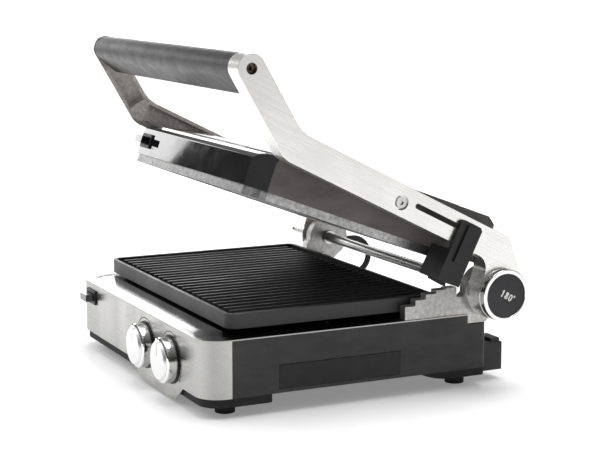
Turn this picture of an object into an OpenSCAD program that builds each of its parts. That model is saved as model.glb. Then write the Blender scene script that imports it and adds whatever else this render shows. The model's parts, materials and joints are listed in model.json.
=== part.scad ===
// Contact grill (panini press) with a floating lid, a stepped height rest and a lid that folds flat.
// The source frame has X to the right, Y to the back and Z up, and Z = 0 is the table.
// The lid is drawn closed and turned into its raised rest position by arm_pose() and lid_pose().

/* [Base] */
// Width of the base
body_w = 368; // [340:1:446]
// Depth of the base, front panel to rear wall, which is also where the hinge sits
body_d = 313; // [300:1:376]
// Height of the base casing, without feet
body_h = 57.5; // [54:0.5:70]
// Height of the casing above the table
ground_gap = 20; // [17:0.5:24]
// Radius of the two front corners
corner_r = 24; // [18:1:34]
// Thickness of the moulded casing walls
wall = 3; // [2.5:0.1:3.6]
// Thickness of the steel front panel and deck
sheet = 1.2; // [1:0.1:1.6]

/* [Plates] */
// Depth of the lower cooking plate
plate_d = 230; // [200:1:234]
// Height of the lower cooking plate
plate_h = 14.5; // [12:0.5:18]
// Height of the upper cooking plate's rim
upper_h = 8.5; // [7:0.5:10]
// Distance between ribs
rib_pitch = 13.6; // [11:0.1:16]
// Height of the ribs
rib_h = 5; // [4:0.5:6]

/* [Arms and lid] */
// Distance from the hinge to the handle
arm_reach = 351; // [340:1:420]
// Width of an arm, seen from the side
arm_w = 30; // [26:1:34]
// Thickness of an arm
arm_t = 23; // [19:1:27]
// Radius of the handle end of an arm
handle_r = 14; // [12:0.5:15]
// Height of the lid casing above the upper plate
lid_h = 50; // [42:0.5:52]
// Angle of the arms in the raised rest position
rest_angle = 26.6; // [22:0.1:28]
// Angle by which the lid droops from the arms in the raised rest position
droop = 6.1; // [4:0.1:7]
// Travel of the height slider along its slot
slide_travel = 60; // [54:1:62]

/* [Hinge] */
// Radius of the arm's hub and of the bracket's hub
hub_r = 27; // [24:0.5:29]
// Radius of the hinge axle's ends
pin_r = 8; // [6.5:0.5:9.5]
// Clearance of the running fits
fit = 0.05; // [0.03:0.01:0.08]

/* [Controls] */
// Radius of the knobs
knob_r = 23; // [19:0.5:24]
// Depth of the knobs
knob_depth = 15; // [12:0.5:18]
// Place of the left knob, to the right of the middle
knob_x = 28; // [22:1:34]
// Distance between the knobs
knob_gap = 70; // [60:1:84]
// Depth of the drip tray's front
tray_w = 134; // [112:1:160]
// Width of the release buttons
button_w = 20; // [17:1:24]

/* [Hidden] */
$fn = 64;
eps = 0.01;
air = 0.3;                            // gap between pieces that pass each other

// heights
z_deck = ground_gap + body_h;
plate_z = z_deck + 6.5;
plate_top = plate_z + plate_h;
pivot_z = plate_top + 3;
rim_z = plate_top + 0.8;              // underside of the upper plate when the lid is closed
cover_z = rim_z + upper_h;            // underside of the lid casing
lid_top = cover_z + lid_h;

// places across the width
body_hw = body_w / 2;
plate_hw = body_hw - 15;
lid_hw = plate_hw - 1;                // lid beside the brackets
lid_wide = body_hw - 10;              // lid in front of the brackets
bracket_in = plate_hw + 3;
bracket_out = body_hw - 1;
arm_in = body_hw + 6;
arm_out = arm_in + arm_t;
ring_out = arm_out + 8;
deck_hw = 0.76 * body_hw;             // half width of the heater well
rise_hw = body_hw - 26;               // half width of the raised middle of the deck

axle_r = 5.5;

// places along the depth
pivot_y = body_d;
plate_y = 32;
plate_back = plate_y + plate_d;
lid_y = 28;                           // front face of the lid
corner_cut = [28, 13];                // chamfer of the lid's front corners
step_y = pivot_y - 62;                // where the lid narrows
lid_back = pivot_y - 7;
well_y = 64;                          // front of the heater well
well_back = plate_back - 12;
wrap_y = 29;                          // end of the steel front panel on both sides
rise = 4;                             // height of the raised middle of the deck
rear_r = 4;                           // rear corner radius
lead_loop = 22;                       // radius of the lid conduit's loop
lead_r = 3.5;
lead_y = pivot_y + 35;
y_mid = (lead_y + lead_loop + lead_r - knob_depth) / 2;

// the arm's own frame: forward from the hinge, up from the hinge
bar_mid = 40;
bar_lo = bar_mid - arm_w / 2;
bar_hi = bar_mid + arm_w / 2;
limb_angle = 33.4;
handle_v = pivot_z - handle_r - 1;    // the handle rests on the table when the lid lies flat
screw_u = 150;
screw_v = 38;
slot_v = 41.7;
slot_r = 2.7;
slider_u = 68;                        // middle of the slider in the raised rest position
slider_w = 26;
foot_u = 46;                          // rear corner of the slider's foot
foot_v = -15.5;
arm_wall = 4;

// controls
knob_z = ground_gap + 23;
button_z = ground_gap + 42;
button_x = -(body_hw - 42);
button_h = 8;
button_travel = 5;
upper_button_z = cover_z + 16;
upper_button_x = -(lid_wide - corner_cut[0] - 16);
disc_r = 21.8;
tray_x = -60;                         // inner end of the drip tray
tray_y = 78.5;
tray_z = ground_gap + 4;
tray_h = 23.5;

// ---------- frames and drawing helpers ----------

// the part's own frame, with its origin at the bottom centre
module base_pose() {
    translate([0, -y_mid, 0]) children();
}

// the arms' frame: Y = -forward and Z = up, both from the hinge axis
module arm_pose() {
    base_pose() translate([0, pivot_y, pivot_z]) rotate([-rest_angle, 0, 0]) children();
}

// the lid's frame: drawn in place on the closed lid, then drooped about the two pivot screws
module lid_pose() {
    arm_pose() translate([0, -screw_u, screw_v]) rotate([droop, 0, 0])
        translate([0, screw_u - pivot_y, -screw_v - pivot_z]) children();
}

module both_sides() {
    children();
    mirror([1, 0, 0]) children();
}

// extrudes a drawing of (Y, Z) from x0 to x1
module side(x0, x1) {
    translate([x0, 0, 0]) rotate([90, 0, 90]) linear_extrude(x1 - x0) children();
}

// extrudes a drawing of (forward, up) in the arm's frame from x0 to x1
module arm_side(x0, x1) {
    side(x0, x1) mirror([1, 0]) children();
}

module rod_x(x0, x1, r) {
    translate([x0, 0, 0]) rotate([0, 90, 0]) cylinder(h = x1 - x0, r = r);
}

module rod_y(y0, y1, r) {
    translate([0, y1, 0]) rotate([90, 0, 0]) cylinder(h = y1 - y0, r = r);
}

// a box given by two opposite corners
module box(a, b) {
    translate(a) cube(b - a);
}

// a rectangle with its own radius at the front and at the back corners
module plan(hw, y0, y1, front_r, back_r) {
    polygon(concat(arc([-hw + front_r, y0 + front_r], front_r, 180, 270),
                   arc([hw - front_r, y0 + front_r], front_r, 270, 360),
                   arc([hw - back_r, y1 - back_r], back_r, 0, 90),
                   arc([-hw + back_r, y1 - back_r], back_r, 90, 180)));
}

function arc(c, r, a0, a1, n = 10) =
    [for (i = [0 : n]) c + r * [cos(a0 + (a1 - a0) * i / n), sin(a0 + (a1 - a0) * i / n)]];

// ---------- base ----------

module base_shell() {
    color("dimgray") base_pose() difference() {
        translate([0, 0, ground_gap]) linear_extrude(body_h - sheet)
            plan(body_hw, sheet, body_d, corner_r - sheet, rear_r);
        translate([0, 0, ground_gap - 1]) linear_extrude(body_h + 2)
            plan(body_hw - wall, sheet + wall, body_d - wall, corner_r - sheet - wall, rear_r);
        // seat of the steel front panel on both sides
        difference() {
            box([-body_hw - 1, -1, ground_gap - 1], [body_hw + 1, wrap_y, z_deck]);
            translate([0, 0, ground_gap - 2]) linear_extrude(body_h + 4)
                plan(body_hw - sheet, sheet, body_d, corner_r - sheet, rear_r);
        }
        box([body_hw - wall - 1, tray_y, tray_z - 0.5],
            [body_hw + 1, tray_y + tray_w, tray_z + tray_h + 0.5]);
        control_holes(0);
        bracket_seats();
        at_gland() rod_y(-wall - 1, 1, 6);
        at_lead_exit() rod_y(-wall - 1, 1, lead_r);
    }
}

// the holes that the controls need in the front wall
module control_holes(grow) {
    for (x = [knob_x, knob_x + knob_gap])
        translate([x, 0, knob_z]) rod_y(-1, wall + sheet + 1, 6 + grow);
    translate([button_x, 0, button_z])
        box([-button_w / 2 - 2, -1, -button_h / 2 - 2],
            [button_w / 2 + 2, wall + sheet + 1, button_h / 2 + 2]);
}

// notches at the rear corners where the hinge brackets reach down
module bracket_seats() {
    both_sides() box([bracket_in, pivot_y - 22, z_deck - 10.5], [body_hw + 1, pivot_y + 1, z_deck + 1]);
}

module base_floor() {
    skirt_h = 9;
    skirt_in = 2;
    plinth_r = 95;
    color([0.12, 0.12, 0.13]) base_pose() difference() {
        union() {
            translate([0, 0, ground_gap]) linear_extrude(wall) plan(body_hw - wall - air,
                sheet + wall + air, body_d - wall - air, corner_r - sheet - wall, rear_r);
            // skirt under the front, which carries the front feet
            translate([0, 0, ground_gap - skirt_h]) linear_extrude(skirt_h) difference() {
                plan(body_hw - skirt_in, sheet + skirt_in, 74, corner_r - skirt_in, 6);
                plan(body_hw - skirt_in - wall, sheet + skirt_in + wall, 74 - wall,
                     corner_r - skirt_in - wall, 6);
            }
            // rear plinths, round in front, which carry the rear feet
            both_sides() side(body_hw - 46, body_hw - wall - 1) polygon(concat(
                [[body_d, ground_gap], [body_d - wall - 1, ground_gap],
                 [body_d - wall - 1, ground_gap + 1], [body_d - 78, ground_gap + 1]],
                arc([body_d - 36, ground_gap - skirt_h + plinth_r], plinth_r, 244, 270, 8),
                [[body_d, ground_gap - skirt_h]]));
            for (p = foot_places()) translate([p[0], p[1], ground_gap - skirt_h])
                cylinder(h = skirt_h + 1, r = 12);
        }
        for (p = foot_places()) translate([p[0], p[1], ground_gap - skirt_h - 1])
            cylinder(h = 5, r = 6);
        for (p = screw_places()) translate([p[0], p[1], ground_gap - 1]) cylinder(h = wall + 2, r = 2);
        for (i = [0 : 7]) box([-30 + i * 12, 235, ground_gap - 1], [-24 + i * 12, 275, ground_gap + wall + 1]);
    }
}

function foot_places() = [for (sx = [-1, 1], y = [33, body_d - 20]) [sx * (body_hw - 28), y]];
function screw_places() = [for (sx = [-1, 1], y = [66, body_d - 50]) [sx * (body_hw - 60), y]];

module rubber_feet() {
    color([0.06, 0.06, 0.06]) base_pose() for (p = foot_places()) translate([p[0], p[1], 0]) {
        cylinder(h = ground_gap - 9, r = 10);
        translate([0, 0, ground_gap - 9 - eps]) cylinder(h = 4 + eps, r = 6);
    }
}

module floor_screws() {
    color("silver") base_pose() for (p = screw_places()) translate([p[0], p[1], 0]) {
        translate([0, 0, ground_gap - 2.4]) cylinder(h = 2.4, r = 3.6);
        translate([0, 0, ground_gap - 1]) cylinder(h = 11, r = 2);
    }
}

module front_panel() {
    chin_mid = knob_x + knob_gap / 2;
    chin = ground_gap - 16.5;
    color("silver") base_pose() difference() {
        union() {
            translate([0, 0, ground_gap]) linear_extrude(body_h - sheet) difference() {
                plan(body_hw, 0, body_d, corner_r, rear_r);
                plan(body_hw - sheet, sheet, body_d, corner_r - sheet, rear_r);
                translate([-body_w, wrap_y]) square([2 * body_w, body_d]);
            }
            // chin under the knobs
            translate([0, sheet, 0]) rotate([90, 0, 0]) linear_extrude(sheet)
                polygon([[chin_mid - 68, ground_gap + 1], [chin_mid - 60, ground_gap - 12],
                         [chin_mid - 47, chin], [chin_mid + 44, chin],
                         [chin_mid + 62, ground_gap - 3], [chin_mid + 68, ground_gap + 1]]);
        }
        control_holes(-1.5);
    }
}

module deck_plate() {
    color("silver") base_pose() difference() {
        union() {
            translate([0, 0, z_deck - sheet]) linear_extrude(sheet)
                plan(body_hw, 0, body_d, corner_r, rear_r);
            // raised middle, with a stepped edge
            for (i = [0 : rise - 1]) translate([0, 0, z_deck - eps]) linear_extrude(i + 1 + eps)
                plan(rise_hw + 2 * (rise - i), 6 + 2 * i, plate_back + 2 - i, corner_r, 6);
        }
        box([-deck_hw, well_y, z_deck - 3], [deck_hw, well_back, z_deck + rise + 1]);
        bracket_seats();
        // openings for the release latch and for the fat spout
        box([button_x - 9, plate_y + 8, z_deck - 3], [button_x + 9, plate_y + 30, z_deck + rise + 1]);
        translate([plate_hw - 18, tray_y + tray_w / 2, z_deck - 3]) cylinder(h = rise + 4, r = 7);
        for (p = bolt_places()) translate([p[0], p[1], z_deck - 3]) cylinder(h = 5, r = 2.5);
    }
}

// ---------- cooking plates and heaters ----------

// a ribbed pan with its ribs up, standing on z = 0
module ribbed_pan(hw, y0, y1, h, front_r) {
    rim = 4;
    floor_t = h - rib_h - 1.5;
    rib_count = floor((2 * hw - 2 * rim - 10) / rib_pitch);
    difference() {
        linear_extrude(h) plan(hw, y0, y1, front_r, 8);
        translate([0, 0, floor_t]) linear_extrude(h) plan(hw - rim, y0 + rim, y1 - rim, front_r - rim, 8 - rim);
    }
    for (i = [0 : rib_count]) translate([(i - rib_count / 2) * rib_pitch, y1 - rim - 8, floor_t - eps])
        rotate([90, 0, 0]) linear_extrude(y1 - y0 - 2 * rim - 16)
            polygon([[-3, 0], [3, 0], [1.4, rib_h], [-1.4, rib_h]]);
}

module lower_plate() {
    spout = [plate_hw - 18, tray_y + tray_w / 2];
    color([0.2, 0.2, 0.21]) base_pose() difference() {
        union() {
            translate([0, 0, plate_z]) ribbed_pan(plate_hw, plate_y, plate_back, plate_h, 12);
            translate([spout[0], spout[1], tray_z + tray_h + 3])
                cylinder(h = plate_z - tray_z - tray_h - 2, r = 6);
            // four pads that stand on the deck
            for (x = [-1, 1], y = [plate_y + 60, plate_back - 8])
                box([x * (plate_hw - 20) - 5, y - 5, z_deck + rise], [x * (plate_hw - 20) + 5, y + 5, plate_z + 1]);
            latch_lug();
        }
        translate([spout[0], spout[1], 0]) cylinder(h = plate_top + 1, r = 4);
    }
}

// the lug under the plate that the release latch reaches through
module latch_lug() {
    difference() {
        box([button_x - 8, plate_y + 12, z_deck + 1.2], [button_x + 8, plate_y + 15, plate_z + 1]);
        box([button_x - 5, plate_y + 11, z_deck + 2.2], [button_x + 5, plate_y + 16, z_deck + 5.4]);
    }
}

// a shallow open sheet pan with its floor at z0, drawn from the outside
module sheet_pan(hw, y0, y1, z0, z1, up) {
    difference() {
        box([-hw, y0, z0], [hw, y1, z1]);
        box([-hw + sheet, y0 + sheet, up ? z0 + sheet : z0 - 1], [hw - sheet, y1 - sheet, up ? z1 + 1 : z1 - sheet]);
    }
}

module lower_reflector() {
    lip = 4;
    color("gainsboro") base_pose() {
        sheet_pan(deck_hw, well_y, well_back, z_deck - 18, z_deck - sheet, true);
        // lip under the deck
        translate([0, 0, z_deck - 2 * sheet]) linear_extrude(sheet) difference() {
            plan(deck_hw + lip, well_y - lip, well_back + lip, 1, 1);
            plan(deck_hw - sheet, well_y + sheet, well_back - sheet, 1, 1);
        }
    }
}

// a tubular heater bent into three runs, flat at height z, with clips that reach to z + stand
module heater(z, y0, y1, stand) {
    tube_r = 3.3;
    bend = (y1 - y0) / 4;
    run = deck_hw - 24 - bend;
    for (i = [0 : 2]) translate([0, y0 + 2 * bend * i, z])
        rod_x(-run, run, tube_r);
    for (i = [0 : 2], x = [-0.6, 0.6]) translate([x * run - 3, y0 + 2 * bend * i - 1, min(z, z + stand)])
        cube([6, 2, abs(stand)]);
    for (i = [0, 1]) translate([i == 0 ? run : -run, y0 + bend * (2 * i + 1), z])
        rotate([0, 0, i == 0 ? -90 : 90]) rotate_extrude(angle = 180) translate([bend, 0]) circle(r = tube_r);
}

module lower_element() {
    color("slategray") base_pose() heater(z_deck - 5, well_y + 24, well_back - 24, sheet - 13);
}

module drip_tray() {
    t = 2.2;
    color([0.16, 0.16, 0.17]) base_pose() difference() {
        union() {
            box([tray_x, tray_y + 2, tray_z], [body_hw - 2, tray_y + tray_w - 2, tray_z + tray_h - 3]);
            box([body_hw - wall, tray_y + air, tray_z - 0.2], [body_hw, tray_y + tray_w - air, tray_z + tray_h]);
        }
        box([tray_x + t, tray_y + 2 + t, tray_z + t],
            [body_hw - wall - t, tray_y + tray_w - 2 - t, tray_z + tray_h + 1]);
    }
}

// ---------- controls on the front ----------

module thermostat(x) {
    color("beige") base_pose() translate([x, 0, knob_z]) difference() {
        union() {
            box([-15, wall + sheet + air, -14], [15, 34, 14]);
            rod_y(-0.6, wall + sheet + 1, 4.5);
        }
        rod_y(-2, 22, 3 + fit);
    }
}

module thermostat_left() {
    thermostat(knob_x);
}

module thermostat_right() {
    thermostat(knob_x + knob_gap);
}

module knob_rings() {
    color([0.1, 0.1, 0.1]) base_pose() for (x = [knob_x, knob_x + knob_gap])
        translate([x, 0, knob_z]) difference() {
            rod_y(-1, 0, knob_r + 1.6);
            rod_y(-2, 1, knob_r - 3);
        }
}

// a hollow turned knob with its skirt just off the panel
module knob(x) {
    color("silver") base_pose() translate([x, 0, knob_z]) difference() {
        rotate([90, 0, 0]) rotate_extrude() polygon([[0, 1.4], [knob_r, 1.4], [knob_r, knob_depth - 4],
            [knob_r - 2.5, knob_depth - 2.5], [0, knob_depth - 2.5]]);
        rotate([90, 0, 0]) rotate_extrude() polygon([[5.5, 1], [knob_r - 2, 1], [knob_r - 2, knob_depth - 6],
            [5.5, knob_depth - 6]]);
        rod_y(-8, 0, 3);
    }
}

module knob_face(x) {
    color("gainsboro") base_pose() translate([x, -knob_depth + 2.5, knob_z]) difference() {
        rotate([90, 0, 0]) rotate_extrude() polygon([[0, 0], [knob_r - 2.5, 0], [knob_r - 4.5, 2.5], [0, 2.5]]);
        // pointer groove
        box([-0.9, -3, 5], [0.9, -1.7, knob_r - 3]);
    }
}

module knob_shaft(x) {
    color("silver") base_pose() translate([x, 0, knob_z]) rod_y(-8, 20, 3);
}

module knob_left() {
    knob(knob_x);
}

module knob_face_left() {
    knob_face(knob_x);
}

module knob_shaft_left() {
    knob_shaft(knob_x);
}

module knob_right() {
    knob(knob_x + knob_gap);
}

module knob_face_right() {
    knob_face(knob_x + knob_gap);
}

module knob_shaft_right() {
    knob_shaft(knob_x + knob_gap);
}

// frame around a release button, front face at y = 0
module bezel() {
    difference() {
        union() {
            box([-button_w / 2 - 4, -2, -button_h / 2 - 4], [button_w / 2 + 4, 0, button_h / 2 + 4]);
            box([-button_w / 2 - 1.5, -eps, -button_h / 2 - 1.5], [button_w / 2 + 1.5, 8, button_h / 2 + 1.5]);
            // tongue and stop that hold the spring
            box([-6, 7, -button_h / 2 - 1.5], [6, 26, -button_h / 2 - air]);
            box([-6, 24, -button_h / 2 - 1], [6, 26, button_h / 2 - 3 - 2 * air]);
        }
        box([-button_w / 2 - air, -3, -button_h / 2 - air], [button_w / 2 + air, 9, button_h / 2 + air]);
    }
}

module lower_bezel() {
    color([0.09, 0.09, 0.09]) base_pose() translate([button_x, 0, button_z]) bezel();
}

// push piece, latch bar, riser and nose of a plate release, drawn for a plate above it
module release(reach, rise, nose_z) {
    box([-button_w / 2, -11, -button_h / 2], [button_w / 2, 12, button_h / 2]);
    box([-7, 8, button_h / 2 - 3], [7, reach, button_h / 2]);
    box([-7, reach - 5, button_h / 2 - 3], [7, reach, rise]);
    box([-4, reach - 11, nose_z], [4, reach - 4, nose_z + 2.4]);
}

module lower_button() {
    color([0.08, 0.08, 0.08]) base_pose() translate([button_x, 0, button_z])
        release(plate_y + 21, plate_z - button_z - 0.7, z_deck - button_z + 2.6);
}

// waved leaf between the button and its stop
module leaf_spring() {
    low = -button_h / 2 + 0.5;
    high = button_h / 2 - 3.6;
    side(-4, 4) polygon([[12, low], [15, high], [18, low], [21, high], [23.5, low], [24, low],
                         [21, high + 0.5], [18, low + 0.5], [15, high + 0.5], [12, low + 0.5]]);
}

module lower_spring() {
    color("silver") base_pose() translate([button_x, 0, button_z]) leaf_spring();
}

// ---------- hinge ----------

function bolt_places() = [for (sx = [-1, 1], y = [pivot_y - 36, pivot_y - 16]) [sx * (bracket_in - 9), y]];

// hub disc, leg and bolting foot, shared by both brackets
module bracket_core() {
    difference() {
        union() {
            translate([0, pivot_y, pivot_z]) rod_x(bracket_in, bracket_out, hub_r - 2);
            side(bracket_in, bracket_out) polygon([[pivot_y - 30, z_deck], [pivot_y - 22, z_deck],
                [pivot_y - 22, z_deck - 10], [pivot_y, z_deck - 10], [pivot_y + 12, z_deck + 2],
                [pivot_y + 20, pivot_z - 12], [pivot_y, pivot_z + 20], [pivot_y - 30, pivot_z - 6]]);
            box([bracket_in - 18, pivot_y - 46, z_deck], [bracket_in + 1, pivot_y - 6, z_deck + 4]);
        }
        translate([0, pivot_y, pivot_z]) rod_x(bracket_in - 1, bracket_out + 1, pin_r + fit);
        for (p = bolt_places()) translate([p[0], p[1], z_deck - 1]) cylinder(h = 6, r = 2.5);
        for (p = bolt_places()) translate([-p[0], p[1], z_deck - 1]) cylinder(h = 6, r = 2.5);
    }
}

// the rest's steps rise to the back; each is one height setting
module rack_bracket() {
    steps = 5;
    rack_y = pivot_y - 95;
    run = 12;
    heights = [for (i = [0 : steps - 1]) z_deck + 14 + 15.2 * sin(90 * i / (steps - 1))];
    color("gainsboro") base_pose() {
        bracket_core();
        side(bracket_in, bracket_out) polygon(concat(
            [[pivot_y - 22, z_deck], [rack_y, z_deck]],
            [for (i = [0 : steps - 1], k = [0, 1]) [rack_y + run * (i + k), heights[i]]],
            [[pivot_y - 35, heights[steps - 1]], [pivot_y - 35, z_deck + 19],
             [pivot_y - 22, z_deck + 19]]));
    }
}

module left_bracket() {
    color("gainsboro") base_pose() mirror([1, 0, 0]) bracket_core();
}

// one axle across the press, thinner behind the plates
module hinge_axle() {
    color("silver") arm_pose() {
        rod_x(-bracket_in + 2, bracket_in - 2, axle_r);
        both_sides() rod_x(bracket_in - 3, arm_out - 9, pin_r);
    }
}

module bracket_bolts() {
    color("dimgray") base_pose() for (p = bolt_places()) translate([p[0], p[1], 0]) {
        translate([0, 0, z_deck + 4]) cylinder(h = 3, r = 4.5);
        translate([0, 0, z_deck - 8]) cylinder(h = 13, r = 2.5);
    }
}

// drum fixed on the axle between bracket and arm, with a ring groove for the lock pin
module drum() {
    difference() {
        rod_x(bracket_out + 0.4, arm_in - 0.4, hub_r - 3);
        rod_x(bracket_out, arm_in, pin_r);
        difference() {
            rod_x(arm_in - 5, arm_in, 18.5);
            rod_x(arm_in - 6, arm_in + 1, 11.5);
        }
    }
}

module drum_right() {
    color("silver") arm_pose() drum();
}

module drum_left() {
    color("silver") arm_pose() mirror([1, 0, 0]) drum();
}

// ---------- arms ----------

// outline of an arm: hub, neck, straight bar, and the raised limb that ends at the handle
module arm_outline() {
    along = [cos(limb_angle), sin(limb_angle)];
    across = [-sin(limb_angle), cos(limb_angle)];
    tip = [arm_reach, handle_v];
    low = tip - handle_r * across;
    high = tip + handle_r * across;
    low_run = (low[1] - bar_lo) / along[1];
    high_run = (high[1] - bar_hi) / along[1];
    heel = [low[0] - low_run * along[0], bar_lo];
    crook = [high[0] - high_run * along[0], bar_hi];
    polygon(concat(
        [[hub_r + 0.5, 0], [hub_r + 2, bar_lo - 15]],
        arc([hub_r + 17, bar_lo - 15], 15, 180, 90, 6),
        [heel - [6, 0], heel - [1.6, -0.6], heel + 4 * along],
        arc(tip, handle_r, limb_angle - 90, limb_angle + 90, 16),
        [crook + 10 * along, crook + 2 * along + [-1, 0.6], crook - [9, 0]],
        arc([22, bar_hi - 9], 9, 90, 140, 5),
        arc([0, 0], hub_r, 139, 360, 24)));
}

// hollow of the casting, open towards the lid
module arm_hollow() {
    along = [cos(limb_angle), sin(limb_angle)];
    tip = [arm_reach, handle_v];
    root = [arm_reach - 62, handle_v - 62 * tan(limb_angle)];
    half = handle_r - arm_wall;
    side_step = half * [-sin(limb_angle), cos(limb_angle)];
    difference() {
        union() {
            polygon([[hub_r + 14, bar_lo + arm_wall], [root[0] - 14, bar_lo + arm_wall],
                     [root[0] - 14, bar_hi - arm_wall], [hub_r + 4, bar_hi - arm_wall]]);
            polygon([root - side_step, tip - 17 * along - side_step, tip - 17 * along + side_step,
                     root + side_step]);
        }
        translate([screw_u, screw_v]) circle(r = 10);
    }
}

module arm() {
    difference() {
        arm_side(arm_in, arm_out) arm_outline();
        arm_side(arm_in - 1, arm_out - arm_wall) arm_hollow();
        rod_x(arm_in - 1, arm_out, pin_r + fit);
        // pocket of the button or cap
        rod_x(arm_out - 8, arm_out + 1, disc_r + 0.4);
        translate([0, -arm_reach, handle_v]) rod_x(arm_in - 1, arm_out + 1, 3.1);
        translate([0, -arm_reach, handle_v]) rod_x(arm_out - 10, arm_out + 1, 5.5);
        translate([0, -screw_u, screw_v]) rod_x(arm_in - 1, arm_out + 1, 3);
        translate([0, -screw_u, screw_v]) rod_x(arm_out - 4, arm_out + 1, 7.5);
    }
}

module arm_right() {
    slot_back = slider_u - slot_r - 1;
    slot_front = slider_u + slide_travel + slot_r + 1;
    color("gainsboro") arm_pose() difference() {
        arm();
        arm_side(arm_out - arm_wall - 1, arm_out + 1) {
            translate([slot_back, slot_v - slot_r]) square([slot_front - slot_back, 2 * slot_r]);
            for (u = [slot_back, slot_front]) translate([u, slot_v]) circle(r = slot_r);
        }
        translate([0, -15, 0]) rod_x(arm_in - 1, arm_out, 3.1);
    }
}

module arm_left() {
    color("gainsboro") arm_pose() mirror([1, 0, 0]) arm();
}

// the grip's section: round on top and drawn out towards the limb
module handle_grip() {
    along = [cos(limb_angle), sin(limb_angle)];
    tip = [arm_reach, handle_v];
    tail = tip - 27 * along;
    grip_r = handle_r - 0.5;
    tail_r = 4;
    lean = asin((grip_r - tail_r) / 27);
    color([0.22, 0.2, 0.2]) arm_pose() difference() {
        arm_side(-arm_in, arm_in) polygon(concat(
            arc(tip, grip_r, limb_angle - 90 - lean, limb_angle + 90 + lean, 20),
            arc(tail, tail_r, limb_angle + 90 + lean, limb_angle + 270 - lean, 8)));
        translate([0, -arm_reach, handle_v]) rod_x(-arm_in - 1, arm_in + 1, 7);
    }
}

module handle_rod() {
    color("silver") arm_pose() translate([0, -arm_reach, handle_v]) difference() {
        rod_x(-arm_in, arm_in, 7);
        rod_x(-arm_in - 1, -arm_in + 22, 3);
        rod_x(arm_in - 22, arm_in + 1, 3);
    }
}

module socket_screw(x0, x1, head_r, shank_r, head_t) {
    difference() {
        union() {
            rod_x(x1 - head_t, x1, head_r);
            rod_x(x0, x1 - head_t + 1, shank_r);
        }
        translate([x1 - head_t + 1.5, 0, 0]) rotate([0, 90, 0]) cylinder(h = head_t, r = 0.5 * head_r, $fn = 6);
    }
}

module handle_screws() {
    color("dimgray") arm_pose() both_sides() translate([0, -arm_reach, handle_v])
        socket_screw(arm_in - 18, arm_out - 5, 5, 3, 5);
}

module pivot_screws() {
    color("silver") arm_pose() both_sides() translate([0, -screw_u, screw_v])
        socket_screw(lid_wide - 12, arm_out - 0.5, 5.5, 3, 3.5);
}

// rod through the lid, with a shoulder between lid and arm on both sides
module pivot_rod() {
    color("silver") arm_pose() translate([0, -screw_u, screw_v]) difference() {
        union() {
            rod_x(-lid_wide - 1, lid_wide + 1, 5);
            both_sides() rod_x(lid_wide + 0.6, arm_in - 0.2, 8);
        }
        both_sides() rod_x(lid_wide - 13, arm_in, 3 + fit);
    }
}

module hub_ring() {
    difference() {
        rod_x(arm_out, ring_out, hub_r - 0.4);
        rod_x(arm_out - 1, ring_out + 1, disc_r + 0.4);
    }
}

module hub_ring_right() {
    color("silver") arm_pose() hub_ring();
}

module hub_ring_left() {
    color("silver") arm_pose() mirror([1, 0, 0]) hub_ring();
}

module hub_cap_left() {
    color([0.15, 0.15, 0.16]) arm_pose() mirror([1, 0, 0]) rod_x(arm_out - 8, ring_out - 1, disc_r + 0.4);
}

// the button that frees the arm to fold flat, with its lock pin
module fold_button() {
    color([0.15, 0.15, 0.16]) arm_pose() {
        rod_x(arm_out - 3, ring_out - 1, disc_r);
        translate([0, -15, 0]) rod_x(arm_in - 0.5, arm_out - 2, 2.8);
    }
}

// dished spring washer behind the button
module fold_spring() {
    color("silver") arm_pose() translate([arm_out - 8, 0, 0]) rotate([0, 90, 0])
        rotate_extrude() polygon([[11.4, 0], [12, 0], [9.6, 5], [9, 5]]);
}

// ---------- height slider ----------

module height_slider() {
    slider_in = bracket_in + 1;
    slider_out = ring_out - 0.5;
    front_u = slider_u + slider_w / 2;
    back_u = slider_u - slider_w / 2;
    color([0.12, 0.12, 0.13]) arm_pose() difference() {
        slider_body(slider_in, slider_out, front_u, back_u);
        translate([0, -slider_u, slot_v]) rod_x(arm_out, arm_out + 3, slot_r - 0.1);
    }
}

module slider_body(slider_in, slider_out, front_u, back_u) {
    union() {
        // grip on the outside of the arm
        arm_side(arm_out + 0.4, slider_out - 2.5) polygon([[back_u, -11], [front_u, -14], [front_u, bar_hi - 8],
            [front_u - 3, bar_hi - 5], [back_u + 3, bar_hi - 5], [back_u, bar_hi - 8]]);
        arm_side(slider_out - 2.6, slider_out) polygon([[back_u + 8, 8], [front_u - 8, 8],
            [front_u - 8, bar_hi - 8], [back_u + 8, bar_hi - 8]]);
        // bridge under the arm, and the foot on the rest
        arm_side(lid_wide + 1.2, arm_out + 0.5) polygon([[foot_u + 5, foot_v + 3], [front_u - 4, foot_v + 2],
            [front_u - 4, bar_lo - 6], [foot_u + 12, bar_lo - 6]]);
        arm_side(slider_in, bracket_out - 1) polygon([[foot_u, foot_v], [foot_u + 18, foot_v + 1],
            [foot_u + 20, foot_v + 8], [foot_u + 3, foot_v + 8]]);
    }
}

module slider_pin() {
    color("silver") arm_pose() translate([0, -slider_u, slot_v]) difference() {
        rod_x(arm_out - 14, arm_out + 3, slot_r - 0.1);
        rod_x(arm_out + 2, arm_out + 4, 1);
    }
}

// runs inside the hollow of the arm and holds the slider on
module slider_plate() {
    color("silver") arm_pose() difference() {
        arm_side(arm_out - arm_wall - 4, arm_out - arm_wall - 1) translate([slider_u - 10, slot_v - 8])
            square([20, 16]);
        translate([0, -slider_u, slot_v]) rod_x(arm_out - 15, arm_out, slot_r - 0.1);
    }
}

// ---------- lid ----------

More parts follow.
